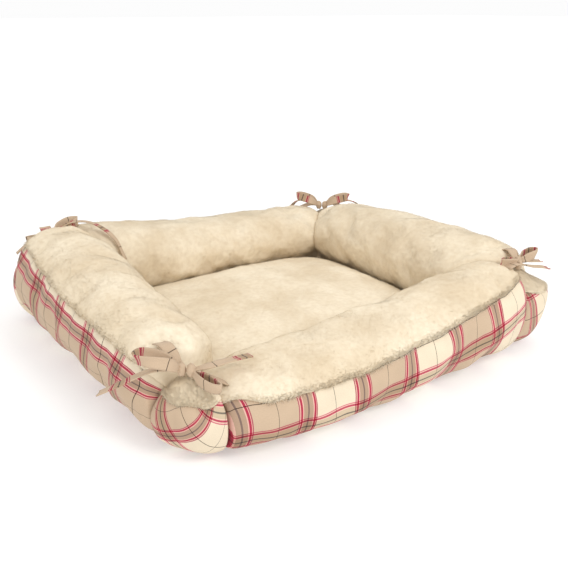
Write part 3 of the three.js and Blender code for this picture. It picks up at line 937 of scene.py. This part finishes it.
def finish_pouch(name):
    cover = build_pouch(name)
    subdivide(cover)
    edge = read_weights(cover, "edge") * EDGE_SPAN

    def depth(co, used):
        rise = np.sqrt(np.clip(edge[used] / (6 * MM), 0.15, 1))
        return (PILE + brushed(co[:, 0] + co[:, 2], co[:, 1] - co[:, 2])) * rise

    plush, used, surface = pile_shell(f"corner_{name}_plush_cover", cover, 1, depth)
    plush.data.materials.append(PLUSH)
    sink_covered(cover, 1, 1.4 * MM)
    comb = combed(np.array(CORNERS[name]) * 0.5)
    beyond = abs(coords(cover.data)[used][:, :2]) - (HALF_X, HALF_Y)
    free = smooth(END_CLEAR, 2 * END_CLEAR, beyond.min(axis=1))
    near = np.exp(-((edge[used] - 1.5 * MM) / (3 * MM)) ** 2) * free
    pile = fibres(f"corner_{name}_pile", surface, 8000, 2.8 * MM, FIBRE_WIDTH, comb, FIBRE_LEAN, 34,
                  share=free)
    fringe = fibres(f"corner_{name}_fringe", surface, 260, 2.6 * MM, 0.40 * MM, comb, 1.2, 35, share=near)
    for piece in (pile, fringe):
        piece.data.materials.append(FIBRE)
    for piece in (cover, plush, pile, fringe):
        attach(piece, "base")
    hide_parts(f"corner_{name}_plaid", f"corner_{name}_filling")
    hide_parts(f"corner_{name}_plush")


# ---- ribbon ties ----
# Each corner's knot: its reach outside both fold lines and its height.
KNOTS = {"front_left": (0.023, 0.091), "front_right": (0.022, 0.110), "back_right": (0.018, 0.097),
         "back_left": (0.018, 0.120)}
# Each tie: its end of the wall, its corner, its loop (heading from straight outward towards the
# wall's middle, length, width, rise), and its tail's points beyond the end, outward and above
# the knot, all in mm.
TIES = {
    "front_wall_tie_left": (-1, "front_left", (18, 38, 10, -8), [(0, 33, 3), (-22, 28, 0), (-47, 26, -2)]),
    "left_wall_tie_front": (1, "front_left", (8, 44, 22, 21), [(10, 50, 2), (2, 76, -6), (-18, 98, -22)]),
    "front_wall_tie_right": (1, "front_right", (88, 34, 8, 8), [(33, 36, -3), (46, 41, -5), (56, 44, -8)]),
    "right_wall_tie_front": (-1, "front_right", (0, 34, 13, 7), [(21, 38, -1), (23, 52, -3), (25, 64, -5)]),
    "right_wall_tie_back": (1, "back_right", (45, 40, 20, 16), [(0, 44, 8), (-2, 76, 0), (-8, 98, -26)]),
    "back_wall_tie_right": (-1, "back_right", (56, 38, 18, 16), [(4, 46, 4), (2, 74, -4), (-6, 96, -30)]),
    "back_wall_tie_left": (1, "back_left", (70, 40, 18, 11),
                           [(-10, 20, 13), (-36, 2, 12), (-54, -26, -5), (-62, -43, -34)]),
    "left_wall_tie_back": (-1, "back_left", (-12, 32, 9, -3), [(10, 38, 2), (13, 54, -5), (15, 70, -17)]),
}
# How wide each corner's tails look, creased lengthwise, as a share of the ribbon's width.
TAIL_FOLD = {"front_left": 0.72, "front_right": 0.62, "back_right": 0.72, "back_left": 0.5}
STRAP_OUT = 33 * MM  # how far outside the fold line a strap leaves its wall
KNOT_RADII = (5.0 * MM, 4.8 * MM, 7.2 * MM)  # half a knot: along the wall, outward, up


def ribbon_strip(path, across, samples, gather, folded=1.0, cup=0.5 * MM):
    """A strip along a path, narrowed where folded: points, run and places. gather marks knot ends."""
    line = open_curve(path, samples)
    tangent = np.gradient(line, axis=0)
    tangent /= np.linalg.norm(tangent, axis=1, keepdims=True)
    across = np.asarray(across, float)
    side = across - tangent * (tangent @ across)[:, None]
    side /= np.maximum(np.linalg.norm(side, axis=1, keepdims=True), 1e-6)
    face = np.cross(side, tangent)
    run = np.concatenate([[0], np.cumsum(np.linalg.norm(np.diff(line, axis=0), axis=1))])
    from_knot = np.minimum(run if gather[0] else run[-1], (run[-1] - run) if gather[1] else run[-1])
    width = RIBBON_WIDTH * folded * (0.45 + 0.55 * smooth(0, 18 * MM, from_knot))
    crumple = 1 - smooth(0, 16 * MM, from_knot)
    places = np.linspace(-0.5, 0.5, 7)
    rows = []
    for w in places:
        bend = cup * (4 * w * w) + crumple * 1.1 * MM * math.cos(w * 4 * math.pi)
        bend = bend + 0.35 * MM * np.sin(run / (9 * MM) + w * 5)
        rows.append(line + side * (w * width)[:, None] + face * np.asarray(bend).reshape(-1, 1))
    return np.stack(rows, 1), run, places


def strip_mesh(strips):
    """Joins thin closed strips into one mesh, with uv in metres along and across each strip."""
    points, faces, uv = [], [], []
    for grid, run, places in strips:
        n, m = grid.shape[:2]
        along = np.gradient(grid, axis=0)
        cross = np.gradient(grid, axis=1)
        normal = np.cross(along, cross)
        normal /= np.maximum(np.linalg.norm(normal, axis=2, keepdims=True), 1e-9)
        start = sum(len(p) for p in points)
        skin = normal * RIBBON_THICKNESS / 2
        flat = np.stack(np.broadcast_arrays(run[:, None], places[None] * RIBBON_WIDTH), -1)
        points += [(grid + skin).reshape(-1, 3), (grid - skin).reshape(-1, 3)]
        uv += [flat.reshape(-1, 2)] * 2
        size = n * m
        at = lambda layer, i, j: start + layer * size + i * m + j
        for i in range(n - 1):
            for j in range(m - 1):
                faces.append((at(0, i, j), at(0, i, j + 1), at(0, i + 1, j + 1), at(0, i + 1, j)))
                faces.append((at(1, i, j), at(1, i + 1, j), at(1, i + 1, j + 1), at(1, i, j + 1)))
        for i in range(n - 1):
            faces.append((at(0, i, 0), at(0, i + 1, 0), at(1, i + 1, 0), at(1, i, 0)))
            faces.append((at(0, i + 1, m - 1), at(0, i, m - 1), at(1, i, m - 1), at(1, i + 1, m - 1)))
        for j in range(m - 1):
            faces.append((at(0, 0, j + 1), at(0, 0, j), at(1, 0, j), at(1, 0, j + 1)))
            faces.append((at(0, n - 1, j), at(0, n - 1, j + 1), at(1, n - 1, j + 1), at(1, n - 1, j)))
    return np.concatenate(points), faces, np.concatenate(uv)


def build_tie(name):
    wall = WALLS[name.split("_")[0]]
    end, corner, (heading, length, width, rise), tail = TIES[name]
    reach, height = KNOTS[corner]
    angle = math.radians(heading)
    beyond, out = reach - KNOT_SPLIT, reach + KNOT_SPLIT
    place = lambda b, o, z: wall.world(end * (wall.half + np.float64(b)), np.float64(o), np.float64(z))
    knot = place(beyond, out, height)
    raised = lambda b, o, u: place(b * MM, o * MM, height + u * MM)

    def loop_point(forward, sideways, lift):
        return place(beyond - (length * forward * math.sin(angle) - width * sideways * math.cos(angle)) * MM,
                     out + (length * forward * math.cos(angle) + width * sideways * math.sin(angle)) * MM,
                     height + rise * lift * MM)

    loop_path = [knot, loop_point(0.35, 0.42, 0.6), loop_point(0.78, 0.45, 0.95), loop_point(1, 0, 1),
                 loop_point(0.78, -0.45, 0.95), loop_point(0.35, -0.42, 0.6), knot]
    top = wall.at(wall.crest, end * 0.94)
    leave = max(top + 2 * MM, height - 10 * MM)
    strap_path = [place(-14 * MM, STRAP_OUT + 1 * MM, top - 1 * MM), place(0, STRAP_OUT, leave),
                  place(beyond / 2, (STRAP_OUT + out) / 2, (leave + height) / 2 + 1 * MM), knot]
    tail_path = [knot] + [raised(*point) for point in tail]
    run_way = tail_path[-1] - tail_path[1]
    tail_across = np.cross(run_way, [0, 0, 1])
    loop_across = np.array([0, 0, 1.0]) + wall.out * 0.35
    strips = [ribbon_strip(strap_path, wall.out, 12, (False, True)),
              ribbon_strip(loop_path, loop_across, 44, (True, True), folded=0.9),
              ribbon_strip(tail_path, tail_across, 30, (True, False), folded=TAIL_FOLD[corner])]
    points, faces, uv = strip_mesh(strips)
    uv = uv[:, ::-1] + np.array([0.092, 0.013 * len(name)])
    obj = make_object(f"{name}_ribbon", points, faces, uv)
    obj.data.materials.append(PLAID)
    half_knot = build_knot(f"{name}_knot", knot, wall, end)
    body = f"{wall.name}_wall"
    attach(obj, body)
    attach(half_knot, body)
    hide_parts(name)


def build_knot(name, centre, wall, end):
    """Half of a pulled knot: a wrap of cloth with folds running round it."""
    turns, rows = 28, 16
    points = []
    for i in range(rows + 1):
        polar = math.pi * i / rows
        for k in range(turns):
            around = 2 * math.pi * k / turns
            groove = 1 + 0.09 * math.cos(6 * around + 1.5 * math.sin(polar * 2)) * math.sin(polar)
            x = KNOT_RADII[0] * math.cos(polar)
            y = KNOT_RADII[1] * math.sin(polar) * math.cos(around) * groove
            z = KNOT_RADII[2] * math.sin(polar) * math.sin(around) * groove
            points.append(centre - wall.along * end * x + wall.out * y + np.array([0, 0, z]))
    faces = [(i * turns + k, i * turns + (k + 1) % turns,
              (i + 1) * turns + (k + 1) % turns, (i + 1) * turns + k)
             for i in range(rows) for k in range(turns)]
    uv = [(0.085 + 0.0007 * (n % turns), 0.02 + 0.0008 * (n // turns)) for n in range(len(points))]
    obj = make_object(name, points, faces, uv)
    obj.data.materials.append(PLAID)
    clean(obj)
    return obj


# ---- assembly ----
add_camera()
add_studio()
for each_wall in WALLS.values():
    finish_wall(each_wall)
build_pad()
for each_corner in CORNERS:
    finish_pouch(each_corner)
for each_tie in TIES:
    build_tie(each_tie)

bpy.context.view_layer.update()
